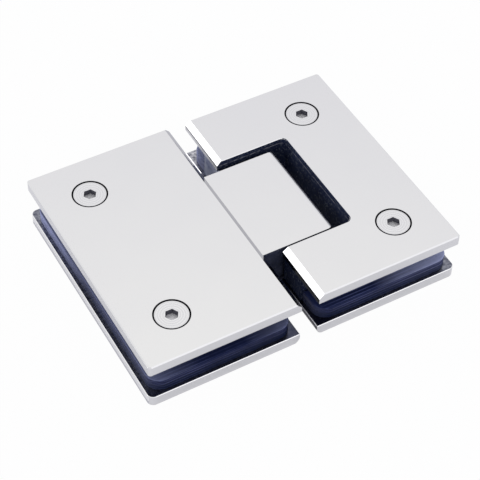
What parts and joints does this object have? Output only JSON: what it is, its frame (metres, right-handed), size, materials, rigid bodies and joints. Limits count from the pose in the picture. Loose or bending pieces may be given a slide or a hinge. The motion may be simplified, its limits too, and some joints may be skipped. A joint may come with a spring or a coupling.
{
  "type": "glass door hinge",
  "caption": "Glass-to-glass door hinge: two screwed clamps with notched swing plates turning on a pin in a knuckle block.",
  "frame": {"origin": "under the middle of the whole hinge, on the surface that it lies on", "axes": "+X from the fixed clamp to the swing clamp, +Y along the pivot pin, +Z from the rear plates to the front plates"},
  "size_m": [0.114, 0.09, 0.0194],
  "materials": {
    "chrome_plate": "bright polished chrome plating on cast brass",
    "turned_screw": "turned face with fine rings, plated",
    "ground_steel": "ground",
    "spring_steel": "drawn wire",
    "zinc_screw": "zinc plated",
    "bush_bronze": "sintered bronze",
    "navy_gasket": "smooth soft plastic with a slight gloss",
    "navy_packer": "glossy extruded plastic",
    "white_nylon": "moulded nylon",
    "dark_acetal": "turned acetal"
  },
  "bodies": {
    "fixed_clamp": {"fixed_front_plate": "chrome_plate", "fixed_rear_plate": "chrome_plate", "fixed_rear_gasket": "navy_gasket", "fixed_front_gasket": "navy_gasket", "fixed_packer": "navy_packer", "fixed_clamp_screw_lower": "turned_screw", "fixed_sleeve_lower": "white_nylon", "fixed_clamp_screw_upper": "turned_screw", "fixed_sleeve_upper": "white_nylon", "knuckle_block": "chrome_plate", "pin_bush_lower": "bush_bronze", "plunger_lower": "ground_steel", "plunger_spring_lower": "spring_steel", "block_screw_lower": "zinc_screw", "pin_bush_upper": "bush_bronze", "plunger_upper": "ground_steel", "plunger_spring_upper": "spring_steel", "block_screw_upper": "zinc_screw"},
    "swing_clamp": {"swing_front_plate": "chrome_plate", "swing_rear_plate": "chrome_plate", "swing_rear_gasket": "navy_gasket", "swing_front_gasket": "navy_gasket", "swing_packer": "navy_packer", "swing_clamp_screw_lower": "turned_screw", "swing_sleeve_lower": "white_nylon", "swing_clamp_screw_upper": "turned_screw", "swing_sleeve_upper": "white_nylon", "pivot_pin": "ground_steel", "thrust_washer_lower": "dark_acetal", "pin_dowel_lower": "ground_steel", "thrust_washer_upper": "dark_acetal", "pin_dowel_upper": "ground_steel"}
  },
  "joints": [
    {"name": "door_swing", "type": "hinge", "parent": "fixed_clamp", "child": "swing_clamp", "pos_m": [0.0124, 0, 0.0097], "axis": [0, 1, 0], "range_deg": [-90, 90]}
  ]
}
